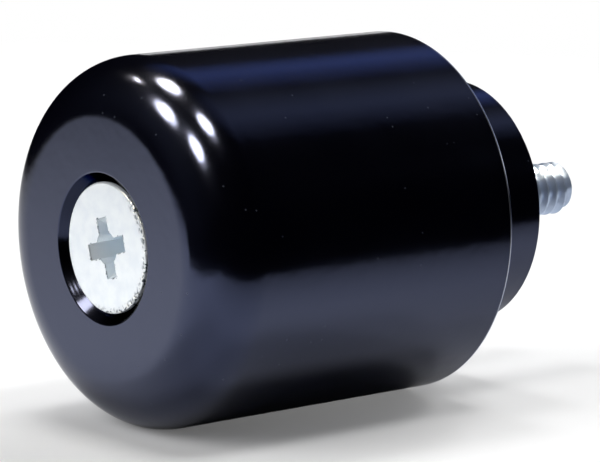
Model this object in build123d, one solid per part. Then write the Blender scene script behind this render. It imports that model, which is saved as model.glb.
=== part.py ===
"""Bar end weight: a turned, rounded weight for the end of a handlebar, with its countersunk screw.

The axis of the bar is X. The weight lies on the minus X side, its flat front face outwards, and
the free end of the screw points along plus X, into the bar. The origin is the centre of the
spigot's end face, which butts on the end of the bar. All sizes are millimetres.
"""

from build123d import *
from math import radians, tan
import os

# The weight: a round bar with a rounded front edge and a shouldered spigot behind it
body_diameter = 32.0
body_length = 32.0
front_round = 5.0
shoulder_edge_round = 0.2
spigot_diameter = 22.0
spigot_length = 8.0
spigot_chamfer = 0.3

# The screw hole: a countersink in the front face and a clearance hole right through
countersink_diameter = 13.0
countersink_angle = 90.0
countersink_edge_round = 0.2
hole_clearance = 0.4
hole_mouth_chamfer = 0.3

# The screw: a flat countersunk head on a shank with a rolled thread at its free end
head_diameter = 11.2
head_land = 0.4
head_edge_round = 0.15
seat_clearance = 0.03
shank_diameter = 4.14
thread_diameter = 4.83
thread_reach = 12.2
tip_chamfer = 0.6

# The cross recess in the head, for a number 2 driver
cross_span = 5.2
cross_root_span = 2.3
cross_wing_width = 1.4
cross_wall_angle = 26.5
cross_core_diameter = 2.9
cross_point_angle = 140.0
cross_turn = 17.0

# Places along the axis, from the spigot's end face at zero
seat_x = 0.0
shoulder_x = seat_x - spigot_length
front_x = shoulder_x - body_length
hole_diameter = thread_diameter + 2 * hole_clearance
cone_slope = tan(radians(countersink_angle / 2))
countersink_end_x = front_x + (countersink_diameter - hole_diameter) / 2 / cone_slope

# The head's cone lies inside the countersink's by the seat clearance, measured square to the cone
seat_shift = seat_clearance * (1 + cone_slope**2) ** 0.5 / cone_slope
head_rim_x = front_x + (countersink_diameter - head_diameter) / 2 / cone_slope - seat_shift
head_top_x = head_rim_x - head_land
cone_end_x = head_rim_x + (head_diameter - shank_diameter) / 2 / cone_slope
thread_start_x = seat_x
tip_x = seat_x + thread_reach
thread_depth = (thread_diameter - shank_diameter) / 2


def corner(section, x, radius):
    """The corner of a lathe section nearest to a place along the axis and a radius."""
    return section.vertices().sort_by_distance((x, radius))[0]


def make_weight_body():
    """One turned piece: the section from the screw hole outwards, spun about the bar's axis."""
    body_radius = body_diameter / 2
    spigot_radius = spigot_diameter / 2
    hole_radius = hole_diameter / 2
    rim_radius = countersink_diameter / 2
    with BuildPart() as body:
        with BuildSketch(Plane.XZ) as section:
            with BuildLine():
                Polyline(
                    (front_x, rim_radius),
                    (front_x, body_radius),
                    (shoulder_x, body_radius),
                    (shoulder_x, spigot_radius),
                    (seat_x, spigot_radius),
                    (seat_x, hole_radius),
                    (countersink_end_x, hole_radius),
                    close=True,
                )
            make_face()
            fillet(corner(section, front_x, body_radius), radius=front_round)
            fillet(corner(section, front_x, rim_radius), radius=countersink_edge_round)
            fillet(corner(section, shoulder_x, body_radius), radius=shoulder_edge_round)
            chamfer(corner(section, seat_x, spigot_radius), length=spigot_chamfer)
            chamfer(corner(section, seat_x, hole_radius), length=hole_mouth_chamfer)
        revolve(axis=Axis.X)
    return body.part


def make_cross_recess():
    """The driver's shape: two crossed tapered wings, a conical core and a pointed floor.

    The screw stopped with its cross turned a little anticlockwise, as seen from the front.
    """
    wing_half = cross_span / 2
    root_half = cross_root_span / 2
    depth = (wing_half - root_half) / tan(radians(cross_wall_angle))
    floor_x = head_top_x + depth
    point_x = floor_x + root_half / tan(radians(cross_point_angle / 2))
    core_half = cross_core_diameter / 2
    with BuildPart() as wing:
        with BuildSketch(Plane.XZ):
            with BuildLine():
                Polyline(
                    (head_top_x, wing_half),
                    (floor_x, root_half),
                    (floor_x, -root_half),
                    (head_top_x, -wing_half),
                    close=True,
                )
            make_face()
        extrude(amount=cross_wing_width / 2, both=True)
    with BuildPart() as core:
        with BuildSketch(Plane.XZ):
            with BuildLine():
                Polyline(
                    (head_top_x, 0),
                    (head_top_x, core_half),
                    (floor_x, root_half),
                    (point_x, 0),
                    close=True,
                )
            make_face()
        revolve(axis=Axis.X)
    crossed = wing.part + wing.part.rotate(Axis.X, 90) + core.part
    return crossed.rotate(Axis.X, -cross_turn)


def make_screw():
    """One cold-headed piece: head, shank and thread spun about the axis, less the cross recess.

    The thread stands as a plain cylinder of its outer diameter.
    """
    head_radius = head_diameter / 2
    shank_radius = shank_diameter / 2
    thread_radius = thread_diameter / 2
    with BuildPart() as screw:
        with BuildSketch(Plane.XZ) as section:
            with BuildLine():
                Polyline(
                    (head_top_x, 0),
                    (head_top_x, head_radius),
                    (head_rim_x, head_radius),
                    (cone_end_x, shank_radius),
                    (thread_start_x - thread_depth, shank_radius),
                    (thread_start_x, thread_radius),
                    (tip_x, thread_radius),
                    (tip_x, 0),
                    close=True,
                )
            make_face()
            fillet(corner(section, head_top_x, head_radius), radius=head_edge_round)
            chamfer(corner(section, tip_x, thread_radius), length=tip_chamfer)
        revolve(axis=Axis.X)
    return screw.part - make_cross_recess()


os.makedirs("parts", exist_ok=True)
export_step(make_weight_body(), "parts/weight_body.step")
export_step(make_screw(), "parts/screw.step")
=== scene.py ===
import bmesh
import bpy
import math
from mathutils import Matrix, Vector


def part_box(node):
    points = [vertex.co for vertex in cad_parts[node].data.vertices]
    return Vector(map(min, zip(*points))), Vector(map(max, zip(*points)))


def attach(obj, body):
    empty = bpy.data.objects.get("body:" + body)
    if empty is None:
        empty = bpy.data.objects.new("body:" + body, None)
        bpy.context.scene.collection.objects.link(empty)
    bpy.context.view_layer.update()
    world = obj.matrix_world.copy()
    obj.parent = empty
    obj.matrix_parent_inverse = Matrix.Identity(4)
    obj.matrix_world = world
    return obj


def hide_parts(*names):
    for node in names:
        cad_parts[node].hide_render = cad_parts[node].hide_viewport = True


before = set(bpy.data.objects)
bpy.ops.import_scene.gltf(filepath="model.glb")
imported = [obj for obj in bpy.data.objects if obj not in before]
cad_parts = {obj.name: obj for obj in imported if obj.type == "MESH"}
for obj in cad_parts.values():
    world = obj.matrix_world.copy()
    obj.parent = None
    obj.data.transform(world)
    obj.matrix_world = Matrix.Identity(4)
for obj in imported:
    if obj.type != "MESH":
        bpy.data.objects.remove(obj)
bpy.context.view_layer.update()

# The weight
# One slug of steel bar turned in a lathe: a flat front with a large rounded edge, a countersunk
# screw hole along its axis, and a spigot behind a square shoulder that enters the grip.
# It is sprayed in black and baked, which leaves a smooth gloss coat all over the outside.
body_low, body_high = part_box("weight_body")
front_x = body_low.x
seat_x = body_high.x
body_radius = body_high.z
front_round = 0.0050
spigot_length = 0.0080
shoulder_x = seat_x - spigot_length
shoulder_edge = 0.0002
spigot_radius = 0.0110
spigot_chamfer = 0.0003
countersink_radius = 0.0065
countersink_edge = 0.0002
hole_radius = 0.002815
hole_chamfer = 0.0003
countersink_end_x = front_x + countersink_radius - hole_radius
right_angle = math.radians(90)
sharp_angle = math.radians(30)
weld_distance = 1e-7
lathe_steps = 256


def linear(hex_colour):
    """An sRGB hex colour as the linear values that a shader takes."""
    shares = [int(hex_colour[i : i + 2], 16) / 255 for i in (1, 3, 5)]
    return [c / 12.92 if c <= 0.04045 else ((c + 0.055) / 1.055) ** 2.4 for c in shares] + [1.0]


def add_node(tree, kind, settings, links):
    """Add a node: settings are its properties and constant sockets, links the sockets that feed it.

    A socket goes by its name or, on a node that repeats names, by its number.
    """
    node = tree.nodes.new(kind)
    for name, value in settings.items():
        if isinstance(name, int) or name in node.inputs.keys():
            node.inputs[name].default_value = value
        else:
            setattr(node, name, value)
    for name, source in links.items():
        tree.links.new(source, node.inputs[name])
    return node


def new_material(name):
    """A material with an empty node tree, and its output node."""
    material = bpy.data.materials.new(name)
    material.use_nodes = True
    material.node_tree.nodes.clear()
    output = material.node_tree.nodes.new("ShaderNodeOutputMaterial")
    return material, material.node_tree, output


def finish_piece(name, mesh_shape, *materials):
    """Close a shape's seams, turn its faces outwards, shade it smooth between its sharp edges and link it."""
    bmesh.ops.remove_doubles(mesh_shape, verts=mesh_shape.verts, dist=weld_distance)
    bmesh.ops.recalc_face_normals(mesh_shape, faces=mesh_shape.faces)
    for face in mesh_shape.faces:
        face.smooth = True
    for edge in mesh_shape.edges:
        edge.smooth = edge.calc_face_angle(0) < sharp_angle
    mesh = bpy.data.meshes.new(name)
    mesh_shape.to_mesh(mesh)
    mesh_shape.free()
    piece = bpy.data.objects.new(name, mesh)
    bpy.context.scene.collection.objects.link(piece)
    for material in materials:
        mesh.materials.append(material)
    weighted = piece.modifiers.new("even_shading", "WEIGHTED_NORMAL")
    weighted.keep_sharp = True
    return piece


# Half of the lathe section as a closed wire: each corner's place, its round or chamfer, and its segments
section = bmesh.new()
corners = [
    ((front_x, countersink_radius), countersink_edge * math.tan(right_angle / 4), 3),
    ((front_x, body_radius), front_round, 32),
    ((shoulder_x, body_radius), shoulder_edge, 8),
    ((shoulder_x, spigot_radius), 0, 0),
    ((seat_x, spigot_radius), spigot_chamfer, 1),
    ((seat_x, hole_radius), hole_chamfer, 1),
    ((countersink_end_x, hole_radius), 0, 0),
]
wire = [section.verts.new((x, 0, radius)) for (x, radius), cut, steps in corners]
for start, end in zip(wire, wire[1:] + wire[:1]):
    section.edges.new((start, end))
for vertex, (spot, cut, steps) in zip(wire, corners):
    if cut:
        bmesh.ops.bevel(
            section, geom=[vertex], offset=cut, offset_type="OFFSET", segments=steps,
            profile=0.5, affect="VERTICES", material=-1,
        )
bmesh.ops.spin(
    section, geom=section.verts[:] + section.edges[:], cent=(0, 0, 0), axis=(1, 0, 0),
    angle=4 * right_angle, steps=lathe_steps, use_merge=True,
)

# Baked black enamel on steel: almost no colour of its own, a clear bluish mirror of the room,
# softened by the faint ripple that a sprayed coat keeps, with a few specks of dust on it. The coat has
# drawn back from the sharp shoulder edge, where a line of bare steel glints
enamel, tree, output = new_material("baked_black_enamel")
coat_black = linear("#020207")
coat_sheen = linear("#b8c6ff")
coat_ior = 1.88
dust_grey = linear("#4d515a")
edge_steel = linear("#c4c8cf")
ripple_width = 0.0014
ripple_height = 0.000012
haze_width = 0.007
haze_low = 0.3
haze_high = 0.7
clear_roughness = 0.12
hazy_roughness = 0.16
dust_spacing = 0.0015
dust_radius = 0.00010
dust_core_radius = 0.00004
dust_free_share = 0.35
bare_width = 0.00028
bare_core_width = 0.7 * bare_width
place = add_node(tree, "ShaderNodeTexCoord", {}, {})

# The ripple, and the faint haze that softens the mirror in places
ripple = add_node(
    tree, "ShaderNodeTexNoise", {"Scale": 1 / ripple_width, "Detail": 1.0},
    {"Vector": place.outputs["Object"]},
)
bump = add_node(
    tree, "ShaderNodeBump", {"Strength": 1.0, "Distance": ripple_height}, {"Height": ripple.outputs["Fac"]}
)
haze = add_node(
    tree, "ShaderNodeTexNoise", {"Scale": 1 / haze_width, "Detail": 3.0}, {"Vector": place.outputs["Object"]}
)
roughness = add_node(
    tree, "ShaderNodeMapRange",
    {"From Min": haze_low, "From Max": haze_high, "To Min": clear_roughness, "To Max": hazy_roughness},
    {"Value": haze.outputs["Fac"]},
)

# One speck of dust in most cells of a loose grid
specks = add_node(
    tree, "ShaderNodeTexVoronoi", {"Scale": 1 / dust_spacing}, {"Vector": place.outputs["Object"]}
)
speck = add_node(
    tree, "ShaderNodeMapRange",
    {"From Min": dust_radius / dust_spacing, "From Max": dust_core_radius / dust_spacing},
    {"Value": specks.outputs["Distance"]},
)
cell = add_node(tree, "ShaderNodeSeparateColor", {}, {"Color": specks.outputs["Color"]})
chosen = add_node(
    tree, "ShaderNodeMath", {"operation": "GREATER_THAN", 1: dust_free_share}, {0: cell.outputs["Red"]}
)
dust = add_node(
    tree, "ShaderNodeMath", {"operation": "MULTIPLY"},
    {0: speck.outputs["Result"], 1: chosen.outputs["Value"]},
)
dusty = add_node(
    tree, "ShaderNodeMix", {"data_type": "RGBA", 6: coat_black, 7: dust_grey}, {0: dust.outputs["Value"]}
)

# Bare steel close to the shoulder edge, found by the place on the lathe section
along = add_node(tree, "ShaderNodeSeparateXYZ", {}, {"Vector": place.outputs["Object"]})
across = add_node(
    tree, "ShaderNodeVectorMath", {"operation": "MULTIPLY", 1: (0, 1, 1)}, {0: place.outputs["Object"]}
)
radius = add_node(tree, "ShaderNodeVectorMath", {"operation": "LENGTH"}, {0: across.outputs["Vector"]})
lathe_place = add_node(
    tree, "ShaderNodeCombineXYZ", {}, {"X": along.outputs["X"], "Y": radius.outputs["Value"]}
)
from_edge = add_node(
    tree, "ShaderNodeVectorMath", {"operation": "DISTANCE", 1: (shoulder_x, body_radius, 0)},
    {0: lathe_place.outputs["Vector"]},
)
bare = add_node(
    tree, "ShaderNodeMapRange", {"From Min": bare_width, "From Max": bare_core_width},
    {"Value": from_edge.outputs["Value"]},
)
colour = add_node(
    tree, "ShaderNodeMix", {"data_type": "RGBA", 7: edge_steel},
    {0: bare.outputs["Result"], 6: dusty.outputs[2]},
)
coat = add_node(
    tree, "ShaderNodeBsdfPrincipled", {"IOR": coat_ior, "Specular Tint": coat_sheen},
    {
        "Base Color": colour.outputs[2], "Metallic": bare.outputs["Result"],
        "Roughness": roughness.outputs["Result"], "Normal": bump.outputs["Normal"],
    },
)
tree.links.new(coat.outputs["BSDF"], output.inputs["Surface"])

# The countersink and the hole have a navy metal finish of their own. It mirrors less than the enamel,
# least of all at a slant, and the rings that the turning tool left streak its glints. They are drawn
# coarser than the tool's feed, so that they show
countersink_finish, tree, output = new_material("navy_countersink_finish")
countersink_navy = linear("#2d3142")
countersink_slant_tint = linear("#0a0a0c")
countersink_roughness = 0.14
turning_pitch = 0.00025
turning_height = 0.000002
wave_period = math.pi / 10
place = add_node(tree, "ShaderNodeTexCoord", {}, {})
rings = add_node(
    tree, "ShaderNodeTexWave", {"Scale": wave_period / turning_pitch}, {"Vector": place.outputs["Object"]}
)
streaks = add_node(
    tree, "ShaderNodeBump", {"Strength": 1.0, "Distance": turning_height}, {"Height": rings.outputs["Fac"]}
)
countersink_surface = add_node(
    tree, "ShaderNodeBsdfPrincipled",
    {
        "Base Color": countersink_navy, "Metallic": 1.0, "Roughness": countersink_roughness,
        "Specular Tint": countersink_slant_tint,
    },
    {"Normal": streaks.outputs["Normal"]},
)
tree.links.new(countersink_surface.outputs["BSDF"], output.inputs["Surface"])

# The faces inside the countersink's rim take the navy finish
for face in section.faces:
    middle = face.calc_center_median()
    in_hole = math.hypot(middle.y, middle.z) < countersink_radius - countersink_edge
    face.material_index = 1 if in_hole else 0

weight = finish_piece("turned_weight", section, enamel, countersink_finish)
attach(weight, "root")
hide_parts("weight_body")

# The screw
# A steel countersunk screw, cold-headed from wire with a cross recess punched in its head and its
# thread rolled on, then bright zinc plated. It sits loose in the weight and pulls it to the bar.
screw_low, screw_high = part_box("screw")
tip_x = screw_high.x
thread_radius = 0.002415
shank_radius = 0.00207
inch = 0.0254
threads_per_inch = 24
thread_pitch = inch / threads_per_inch
root_flat = thread_pitch / 4
crest_flat = thread_pitch / 8
flank_width = (thread_pitch - root_flat - crest_flat) / 2
flank_slope = math.radians(60)
thread_depth = flank_width * math.tan(flank_slope)
crest_edge = 0.00005
tip_chamfer = 0.0006
run_in_length = 0.0005
run_in_x = seat_x - run_in_length
joint_gap = 0.0001
steps_per_turn = 48
seam_distance = 1e-6

# The rolled thread: one pitch of its ridge, wound up the axis past both ends and cut off square
thread = bmesh.new()
ridge_start = run_in_x - 2 * thread_pitch
turns = math.ceil((tip_x - ridge_start) / thread_pitch) + 1
root_radius = thread_radius - thread_depth
ridge = [
    (0, root_radius),
    (root_flat / 2, root_radius),
    (root_flat / 2 + flank_width, thread_radius),
    (root_flat / 2 + flank_width + crest_flat, thread_radius),
    (thread_pitch - root_flat / 2, root_radius),
    (thread_pitch, root_radius),
]
ridge_wire = [thread.verts.new((ridge_start + forward, 0, height)) for forward, height in ridge]
for start, end in zip(ridge_wire, ridge_wire[1:]):
    thread.edges.new((start, end))
bmesh.ops.bevel(
    thread, geom=ridge_wire[1:-1], offset=crest_edge, offset_type="OFFSET", segments=2,
    profile=0.5, affect="VERTICES", material=-1,
)
bmesh.ops.spin(
    thread, geom=thread.verts[:] + thread.edges[:], cent=(0, 0, 0), axis=(1, 0, 0),
    dvec=(thread_pitch / steps_per_turn, 0, 0), angle=turns * 4 * right_angle,
    steps=turns * steps_per_turn,
)
bmesh.ops.remove_doubles(thread, verts=thread.verts, dist=seam_distance)
for x, direction in ((run_in_x + joint_gap, -1), (tip_x, 1)):
    bmesh.ops.bisect_plane(
        thread, geom=thread.verts[:] + thread.edges[:] + thread.faces[:],
        plane_co=(x, 0, 0), plane_no=(direction, 0, 0), clear_outer=True,
    )

# It runs out of the shank over its first pitch, and its tip is chamfered and closed
for vertex in thread.verts:
    wound = math.hypot(vertex.co.y, vertex.co.z)
    run_in = min((vertex.co.x - run_in_x - joint_gap) / thread_pitch, 1)
    limit = thread_radius - max(vertex.co.x - (tip_x - tip_chamfer), 0)
    wanted = min(shank_radius + (wound - shank_radius) * run_in, limit)
    vertex.co.y *= wanted / wound
    vertex.co.z *= wanted / wound
tip_rim = [e for e in thread.edges if e.is_boundary and e.verts[0].co.x > tip_x - joint_gap]
bmesh.ops.contextual_create(thread, geom=tip_rim)
bmesh.ops.remove_doubles(thread, verts=thread.verts, dist=weld_distance)

# The punched head and the shank, copied from the solid and joined to the thread
head = bmesh.new()
head.from_mesh(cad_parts["screw"].data)
bmesh.ops.remove_doubles(head, verts=head.verts, dist=seam_distance)
bmesh.ops.bisect_plane(
    head, geom=head.verts[:] + head.edges[:] + head.faces[:],
    plane_co=(run_in_x, 0, 0), plane_no=(1, 0, 0), clear_outer=True,
)
thread_mesh = bpy.data.meshes.new("thread_part")
thread.to_mesh(thread_mesh)
thread.free()
head.from_mesh(thread_mesh)
bpy.data.meshes.remove(thread_mesh)
bmesh.ops.bridge_loops(head, edges=[e for e in head.edges if e.is_boundary])

# Bright zinc plate: a pale metal, its shine dulled by the grain of the plating, and nicked dark along the
# recess and one side of the rim. A bluish reflection is painted on the thread, and shade with a blue cast
# down the recess. The grain is drawn coarser than it is, so that it shows
zinc, tree, output = new_material("bright_zinc_plate")
zinc_bright = linear("#f6fbff")
zinc_dull = linear("#edf4fb")
# The thread's colour is a painted bluish reflection, and the recess colour is painted shade with a blue cast
thread_reflection_blue = linear("#ccdcf6")
recess_shade_blue = linear("#dce7f0")
nick_dark = linear("#4a535c")
head_metal = 0.6
recess_metal = 0.25
thread_metal = 0.6
bright_roughness = 0.20
dull_roughness = 0.26
grain_width = 0.0002
grain_height = 0.000001
patch_width = 0.0012
patch_low = 0.4
patch_high = 0.65
nick_width = 0.00028
nick_depth = 0.00006
nick_low = 0.52
nick_high = 0.60
nick_toward = Vector((0, -0.93, -0.37))
rim_start = 0.0050
rim_end = 0.0055
head_top_x = screw_low.x
recess_lip = 0.00015
lip_x = head_top_x + recess_lip
tint_start = 0.0006
tint_start_x = head_top_x + tint_start
tint_end = 0.0016
tint_end_x = head_top_x + tint_end
recess_turn = math.radians(17)
wing_reach = 0.0026
wing_half = 0.0007
burr_width = 0.00012
place = add_node(tree, "ShaderNodeTexCoord", {}, {})

# The grain all over, and nicks on one side of the head's rim
grain = add_node(
    tree, "ShaderNodeTexNoise", {"Scale": 1 / grain_width, "Detail": 2.0}, {"Vector": place.outputs["Object"]}
)
bump = add_node(
    tree, "ShaderNodeBump", {"Strength": 1.0, "Distance": grain_height}, {"Height": grain.outputs["Fac"]}
)
across = add_node(
    tree, "ShaderNodeVectorMath", {"operation": "MULTIPLY", 1: (0, 1, 1)}, {0: place.outputs["Object"]}
)
radius = add_node(tree, "ShaderNodeVectorMath", {"operation": "LENGTH"}, {0: across.outputs["Vector"]})
rim = add_node(
    tree, "ShaderNodeMapRange", {"From Min": rim_start, "From Max": rim_end},
    {"Value": radius.outputs["Value"]},
)
aside = add_node(
    tree, "ShaderNodeVectorMath", {"operation": "DOT_PRODUCT", 1: nick_toward}, {0: place.outputs["Object"]}
)
rim_side = add_node(
    tree, "ShaderNodeMapRange", {"From Max": rim_start / 2}, {"Value": aside.outputs["Value"]}
)
nicked = add_node(
    tree, "ShaderNodeMath", {"operation": "MULTIPLY"},
    {0: rim.outputs["Result"], 1: rim_side.outputs["Result"]},
)
nicks = add_node(
    tree, "ShaderNodeTexNoise", {"Scale": 1 / nick_width, "Detail": 1.0}, {"Vector": place.outputs["Object"]}
)
nick = add_node(
    tree, "ShaderNodeMapRange", {"From Min": nick_low, "From Max": nick_high}, {"Value": nicks.outputs["Fac"]}
)
dark_nick = add_node(
    tree, "ShaderNodeMath", {"operation": "MULTIPLY"}, {0: nick.outputs["Result"], 1: nicked.outputs["Value"]}
)
dent = add_node(
    tree, "ShaderNodeBump", {"invert": True, "Strength": 1.0, "Distance": nick_depth},
    {"Height": dark_nick.outputs["Value"], "Normal": bump.outputs["Normal"]},
)

# Brighter and duller patches
patches = add_node(
    tree, "ShaderNodeTexNoise", {"Scale": 1 / patch_width, "Detail": 3.0}, {"Vector": place.outputs["Object"]}
)
patch = add_node(
    tree, "ShaderNodeMapRange", {"From Min": patch_low, "From Max": patch_high},
    {"Value": patches.outputs["Fac"]},
)
roughness = add_node(
    tree, "ShaderNodeMapRange", {"To Min": bright_roughness, "To Max": dull_roughness},
    {"Value": patch.outputs["Result"]},
)
mottled = add_node(
    tree, "ShaderNodeMix", {"data_type": "RGBA", 6: zinc_bright, 7: zinc_dull}, {0: patch.outputs["Result"]}
)

# Painted bluish reflection on the thread and painted bluish shade down the recess, and less of a mirror in
# the recess
along = add_node(tree, "ShaderNodeSeparateXYZ", {}, {"Vector": place.outputs["Object"]})
on_thread = add_node(
    tree, "ShaderNodeMapRange", {"From Min": run_in_x, "From Max": seat_x}, {"Value": along.outputs["X"]}
)
head_and_recess = add_node(
    tree, "ShaderNodeMapRange",
    {"From Min": head_top_x, "From Max": lip_x, "To Min": head_metal, "To Max": recess_metal},
    {"Value": along.outputs["X"]},
)
metal = add_node(
    tree, "ShaderNodeMix", {"data_type": "FLOAT", 3: thread_metal},
    {0: on_thread.outputs["Result"], 2: head_and_recess.outputs["Result"]},
)
thread_painted_mix = add_node(
    tree, "ShaderNodeMix", {"data_type": "RGBA", 7: thread_reflection_blue},
    {0: on_thread.outputs["Result"], 6: mottled.outputs[2]},
)
deep = add_node(
    tree, "ShaderNodeMapRange", {"From Min": tint_start_x, "From Max": tint_end_x},
    {"Value": along.outputs["X"]},
)
above_thread = add_node(
    tree, "ShaderNodeMath", {"operation": "SUBTRACT"},
    {0: deep.outputs["Result"], 1: on_thread.outputs["Result"]},
)
recess_painted_mix = add_node(
    tree, "ShaderNodeMix", {"data_type": "RGBA", 7: recess_shade_blue},
    {0: above_thread.outputs["Value"], 6: thread_painted_mix.outputs[2]},
)

# A dark, broken burr along the edges of the cross
turned = add_node(
    tree, "ShaderNodeMapping", {"Rotation": (recess_turn, 0, 0)}, {"Vector": place.outputs["Object"]}
)
folded_cross = add_node(
    tree, "ShaderNodeVectorMath", {"operation": "ABSOLUTE"}, {0: turned.outputs["Vector"]}
)
from_axis = add_node(tree, "ShaderNodeSeparateXYZ", {}, {"Vector": folded_cross.outputs["Vector"]})
past_wings = []
for half_y, half_z in ((wing_reach, wing_half), (wing_half, wing_reach)):
    past_y = add_node(
        tree, "ShaderNodeMath", {"operation": "SUBTRACT", 1: half_y}, {0: from_axis.outputs["Y"]}
    )
    past_z = add_node(
        tree, "ShaderNodeMath", {"operation": "SUBTRACT", 1: half_z}, {0: from_axis.outputs["Z"]}
    )
    past_wing = add_node(
        tree, "ShaderNodeMath", {"operation": "MAXIMUM"},
        {0: past_y.outputs["Value"], 1: past_z.outputs["Value"]},
    )
    past_wings.append(past_wing.outputs["Value"])
past_edge = add_node(
    tree, "ShaderNodeMath", {"operation": "MINIMUM"}, {0: past_wings[0], 1: past_wings[1]}
)
off_edge = add_node(tree, "ShaderNodeMath", {"operation": "ABSOLUTE"}, {0: past_edge.outputs["Value"]})
on_edge = add_node(
    tree, "ShaderNodeMapRange", {"From Min": burr_width, "From Max": burr_width / 2},
    {"Value": off_edge.outputs["Value"]},
)
near_face = add_node(
    tree, "ShaderNodeMapRange", {"From Min": lip_x, "From Max": head_top_x}, {"Value": along.outputs["X"]}
)
burr = add_node(
    tree, "ShaderNodeMath", {"operation": "MULTIPLY"},
    {0: on_edge.outputs["Result"], 1: near_face.outputs["Result"]},
)
broken_burr = add_node(
    tree, "ShaderNodeMath", {"operation": "MULTIPLY"}, {0: burr.outputs["Value"], 1: nick.outputs["Result"]}
)

# The nicks and the burr over the plating's own colour
marks = add_node(
    tree, "ShaderNodeMath", {"operation": "MAXIMUM"},
    {0: dark_nick.outputs["Value"], 1: broken_burr.outputs["Value"]},
)
colour = add_node(
    tree, "ShaderNodeMix", {"data_type": "RGBA", 7: nick_dark},
    {0: marks.outputs["Value"], 6: recess_painted_mix.outputs[2]},
)
plate = add_node(
    tree, "ShaderNodeBsdfPrincipled", {},
    {
        "Base Color": colour.outputs[2], "Metallic": metal.outputs[0],
        "Roughness": roughness.outputs["Result"], "Normal": dent.outputs["Normal"],
    },
)
tree.links.new(plate.outputs["BSDF"], output.inputs["Surface"])

screw = finish_piece("countersunk_screw", head, zinc)
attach(screw, "root")
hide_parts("screw")

# The table
# A sheet of white paper that the weight lies on, set more to the front and the far side. It fades out
# all round, soonest on the camera's side, and the white surroundings take over, so no edge of it shows.
# Where the coat mirrors it, the dark table top shows through the fade: a painted falloff of the light
# away from the weight, and painted shade on the camera's side.
floor_z = -body_radius
sheet_half = 0.4
sheet_centre = Vector((-0.09, 0.02, floor_z))
fade_start = 0.03
fade_end = 0.30
near_edge_start = -0.028
near_edge_end = -0.066
near_edge_fade = 0.42
paper_white = linear("#f9f9f9")


def add_stage(name, mesh_shape, material):
    """A thing that isn't part of the object: linked and dressed."""
    mesh = bpy.data.meshes.new(name)
    mesh_shape.to_mesh(mesh)
    mesh_shape.free()
    thing = bpy.data.objects.new(name, mesh)
    bpy.context.scene.collection.objects.link(thing)
    mesh.materials.append(material)
    return thing


paper, tree, output = new_material("white_paper")
place = add_node(tree, "ShaderNodeTexCoord", {}, {})
from_centre = add_node(
    tree, "ShaderNodeVectorMath", {"operation": "DISTANCE", 1: sheet_centre}, {0: place.outputs["Object"]}
)
far_fade = add_node(
    tree, "ShaderNodeMapRange", {"From Min": fade_start, "From Max": fade_end},
    {"Value": from_centre.outputs["Value"]},
)
# The stronger fade on the camera's side is painted shade on the paper as the coat mirrors it
beside = add_node(tree, "ShaderNodeSeparateXYZ", {}, {"Vector": place.outputs["Object"]})
near_painted_shade = add_node(
    tree, "ShaderNodeMapRange",
    {"From Min": near_edge_start, "From Max": near_edge_end, "To Max": near_edge_fade},
    {"Value": beside.outputs["Y"]},
)
fade = add_node(
    tree, "ShaderNodeMath", {"operation": "ADD", "use_clamp": True},
    {0: far_fade.outputs["Result"], 1: near_painted_shade.outputs["Result"]},
)
sheet = add_node(tree, "ShaderNodeBsdfDiffuse", {"Color": paper_white}, {})
clear = add_node(tree, "ShaderNodeBsdfTransparent", {}, {})
faded = add_node(
    tree, "ShaderNodeMixShader", {},
    {0: fade.outputs["Value"], 1: sheet.outputs["BSDF"], 2: clear.outputs["BSDF"]},
)
tree.links.new(faded.outputs["Shader"], output.inputs["Surface"])
floor_shape = bmesh.new()
bmesh.ops.create_grid(
    floor_shape, x_segments=1, y_segments=1, size=sheet_half, matrix=Matrix.Translation(sheet_centre)
)
add_stage("paper_sheet", floor_shape, paper)

# The dim room
# Dark walls and table top, seen only where the coat and the plating mirror them: a dome with gaps to
# the white surroundings, a low screen on the camera's side, a plane under the paper, and a ceiling
# with a soft blue and a soft grey glow.
room_black = linear("#020206")
room_radius = 5.0
ceiling_z = 1.7
ceiling_half = 2.4
ceiling_centre = Vector((2.0, 0.6, ceiling_z))

# Each gap's two bearings and its top in degrees, and each glow's colour, centre and reach
wall_gaps = {"beside the bar": (-35, 35, 30), "behind the weight": (35, 53, 7)}
glows = [
    ("#5d75bd", Vector((1.75, 1.17, ceiling_z)), Vector((1.7, 0.75, 1))),
    ("#7a8297", Vector((1.50, -0.14, ceiling_z)), Vector((1.6, 0.62, 1))),
]
screen_height = 0.05
screen_route = [(-0.125, 0.033), (-0.106, -0.065), (0.6, -0.068)]
table_drop = 0.001


def mirror_only(thing):
    """Leave a thing on the stage to be seen in reflections alone."""
    thing.visible_camera = False
    thing.visible_diffuse = False
    thing.visible_transmission = False
    thing.visible_shadow = False


dark, tree, output = new_material("dark_room")
gloom = add_node(tree, "ShaderNodeEmission", {"Color": room_black, "Strength": 1.0}, {})
tree.links.new(gloom.outputs["Emission"], output.inputs["Surface"])
dome = bmesh.new()
bmesh.ops.create_uvsphere(dome, u_segments=72, v_segments=45, radius=room_radius)
below = [f for f in dome.faces if f.calc_center_median().z < 0]
bmesh.ops.delete(dome, geom=below, context="FACES")
in_gap = []
for face in dome.faces:
    middle = face.calc_center_median()
    bearing = math.degrees(math.atan2(middle.y, middle.x))
    rise = math.degrees(math.asin(middle.z / room_radius))
    if any(left < bearing < right and rise < top for left, right, top in wall_gaps.values()):
        in_gap.append(face)
bmesh.ops.delete(dome, geom=in_gap, context="FACES")
screen = bmesh.new()
foot = [screen.verts.new((x, y, floor_z)) for x, y in screen_route]
foot_edges = [screen.edges.new(pair) for pair in zip(foot, foot[1:])]
raised = bmesh.ops.extrude_edge_only(screen, edges=foot_edges)
raised_verts = [v for v in raised["geom"] if isinstance(v, bmesh.types.BMVert)]
bmesh.ops.translate(screen, verts=raised_verts, vec=(0, 0, screen_height))
table_top = bmesh.new()
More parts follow.
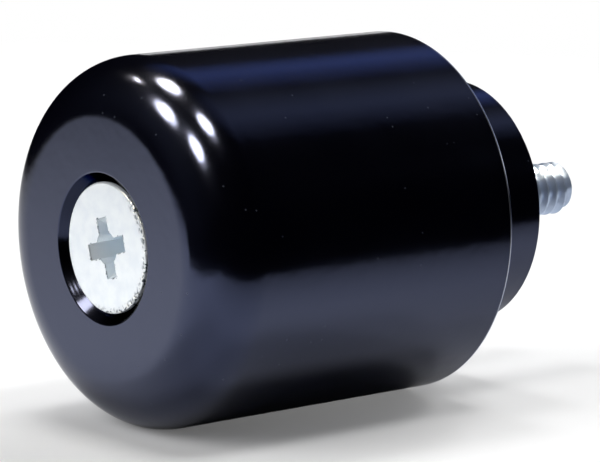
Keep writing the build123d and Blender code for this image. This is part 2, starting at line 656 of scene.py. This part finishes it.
bmesh.ops.create_grid(
    table_top, x_segments=1, y_segments=1, size=room_radius,
    matrix=Matrix.Translation((0, 0, floor_z - table_drop)),
)
ceiling = bmesh.new()
bmesh.ops.create_grid(
    ceiling, x_segments=1, y_segments=1, size=ceiling_half, matrix=Matrix.Translation(ceiling_centre)
)
glowing, tree, output = new_material("glowing_ceiling")
place = add_node(tree, "ShaderNodeTexCoord", {}, {})
unlit = add_node(tree, "ShaderNodeEmission", {"Color": room_black, "Strength": 1.0}, {})
ceiling_light = unlit.outputs["Emission"]
for tone, glow_centre, glow_reach in glows:
    local = add_node(
        tree, "ShaderNodeMapping", {"vector_type": "TEXTURE", "Location": glow_centre, "Scale": glow_reach},
        {"Vector": place.outputs["Object"]},
    )
    falloff = add_node(
        tree, "ShaderNodeTexGradient", {"gradient_type": "SPHERICAL"}, {"Vector": local.outputs["Vector"]}
    )
    glow = add_node(tree, "ShaderNodeEmission", {"Color": linear(tone)}, {"Strength": falloff.outputs["Fac"]})
    lit = add_node(tree, "ShaderNodeAddShader", {}, {0: ceiling_light, 1: glow.outputs["Emission"]})
    ceiling_light = lit.outputs["Shader"]
tree.links.new(ceiling_light, output.inputs["Surface"])
room = [
    ("dark_dome", dome, dark), ("dark_screen", screen, dark), ("dark_table_top", table_top, dark),
    ("glowing_ceiling", ceiling, glowing),
]
for name, shape, finish in room:
    mirror_only(add_stage(name, shape, finish))

# The lamps
# Four round lamps above the weight, each facing it, and a small bare bulb. The coat mirrors their bright
# faces above the front, and their light falls from above and behind, so the front foot lies in soft shade.
lamp_warm = linear("#fff2d6")
lamp_distance = 1.45
lamp_half_angle = math.radians(7)
lamp_width = 2 * lamp_distance * math.tan(lamp_half_angle)
lamp_area = math.pi * lamp_width**2 / 4
lamp_light = 11.2
face_half_angle = math.radians(8)
face_width = 2 * lamp_distance * math.tan(face_half_angle)
face_light = 30.0
lamps = {
    "lamp_near_back": Vector((-0.050, 0.358, 1)),
    "lamp_far_back": Vector((-0.778, 0.310, 1)),
    "lamp_near_camera": Vector((-0.089, -0.252, 1)),
    "lamp_far_camera": Vector((-0.854, -0.316, 1)),
}
bulb_toward = Vector((-0.312, 0.819, 1))
bulb_size = (0.12, 0.03)
bulb_light = 150.0


def lamp_stand(toward):
    """Where a lamp stands and how it is turned to face the weight from one side."""
    turn = toward.to_track_quat("Z", "Y").to_matrix().to_4x4()
    return Matrix.Translation(toward.normalized() * lamp_distance) @ turn


def add_lamp_face(name, toward, length, width, strength):
    """A bright oval that faces the weight from one side."""
    face, tree, output = new_material(name)
    shine = add_node(tree, "ShaderNodeEmission", {"Color": lamp_warm, "Strength": strength}, {})
    tree.links.new(shine.outputs["Emission"], output.inputs["Surface"])
    size = Matrix.Diagonal((length, width, 1, 1))
    oval = bmesh.new()
    bmesh.ops.create_circle(oval, cap_ends=True, segments=48, radius=0.5, matrix=lamp_stand(toward) @ size)
    mirror_only(add_stage(name, oval, face))


for name, toward in lamps.items():
    add_lamp_face(f"{name}_face", toward, face_width, face_width, face_light)
    beam = bpy.data.lights.new(name, "AREA")
    beam.shape = "DISK"
    beam.size = lamp_width
    beam.energy = lamp_light * math.pi * lamp_area
    lamp = bpy.data.objects.new(name, beam)
    bpy.context.scene.collection.objects.link(lamp)
    from_behind = Vector((abs(toward.x), toward.y, toward.z))
    lamp.matrix_world = lamp_stand(from_behind)
    lamp.visible_glossy = False
add_lamp_face("bulb_face", bulb_toward, *bulb_size, bulb_light)

# The surroundings
# White where they are seen, mirrored or seen through. The light that they give is a soft fill from above
# both ends.
world = bpy.data.worlds.new("white_surroundings")
bpy.context.scene.world = world
world.use_nodes = True
tree = world.node_tree
tree.nodes.clear()
white_light = linear("#ffffff")
fill_toward = Vector((0.80, 0.35, 0.49))
fill_edge = 0.8
fill_least = 0.02
fill_most = 3.55
rays = add_node(tree, "ShaderNodeLightPath", {}, {})
seen = add_node(
    tree, "ShaderNodeMath", {"operation": "ADD"},
    {0: rays.outputs["Is Camera Ray"], 1: rays.outputs["Is Glossy Ray"]},
)
seen_all = add_node(
    tree, "ShaderNodeMath", {"operation": "ADD", "use_clamp": True},
    {0: seen.outputs["Value"], 1: rays.outputs["Is Transmission Ray"]},
)
outwards = add_node(tree, "ShaderNodeTexCoord", {}, {})
ahead = add_node(tree, "ShaderNodeSeparateXYZ", {}, {"Vector": outwards.outputs["Generated"]})
either_end = add_node(tree, "ShaderNodeMath", {"operation": "ABSOLUTE"}, {0: ahead.outputs["X"]})
folded = add_node(
    tree, "ShaderNodeCombineXYZ", {},
    {"X": either_end.outputs["Value"], "Y": ahead.outputs["Y"], "Z": ahead.outputs["Z"]},
)
nearness = add_node(
    tree, "ShaderNodeVectorMath", {"operation": "DOT_PRODUCT", 1: fill_toward}, {0: folded.outputs["Vector"]}
)
fill_level = add_node(
    tree, "ShaderNodeMapRange", {"From Min": fill_edge, "To Min": fill_least, "To Max": fill_most},
    {"Value": nearness.outputs["Value"]},
)
fill = add_node(
    tree, "ShaderNodeBackground", {"Color": white_light}, {"Strength": fill_level.outputs["Result"]}
)
white = add_node(tree, "ShaderNodeBackground", {"Color": white_light, "Strength": 1.0}, {})
either = add_node(
    tree, "ShaderNodeMixShader", {},
    {0: seen_all.outputs["Value"], 1: fill.outputs["Background"], 2: white.outputs["Background"]},
)
add_node(tree, "ShaderNodeOutputWorld", {}, {"Surface": either.outputs["Shader"]})

# The camera
# It looks down a little on the front and one side, from close by with a long lens.
look_bearing = math.radians(38.664)
look_down = math.radians(9.903)
look_at = Vector((-0.01869, 0, -0.00081))
look_distance = 0.30747
look = Vector((
    math.sin(look_bearing) * math.cos(look_down),
    math.cos(look_bearing) * math.cos(look_down),
    -math.sin(look_down),
))
camera = bpy.data.objects.new("camera", bpy.data.cameras.new("camera"))
bpy.context.scene.collection.objects.link(camera)
camera.data.sensor_width = 36
camera.data.lens = 210
camera.data.clip_start = 0.01
camera.data.clip_end = 20
camera.location = look_at - look * look_distance
camera.rotation_euler = look.to_track_quat("-Z", "Y").to_euler()
bpy.context.scene.camera = camera
bpy.context.scene.view_settings.view_transform = "Standard"
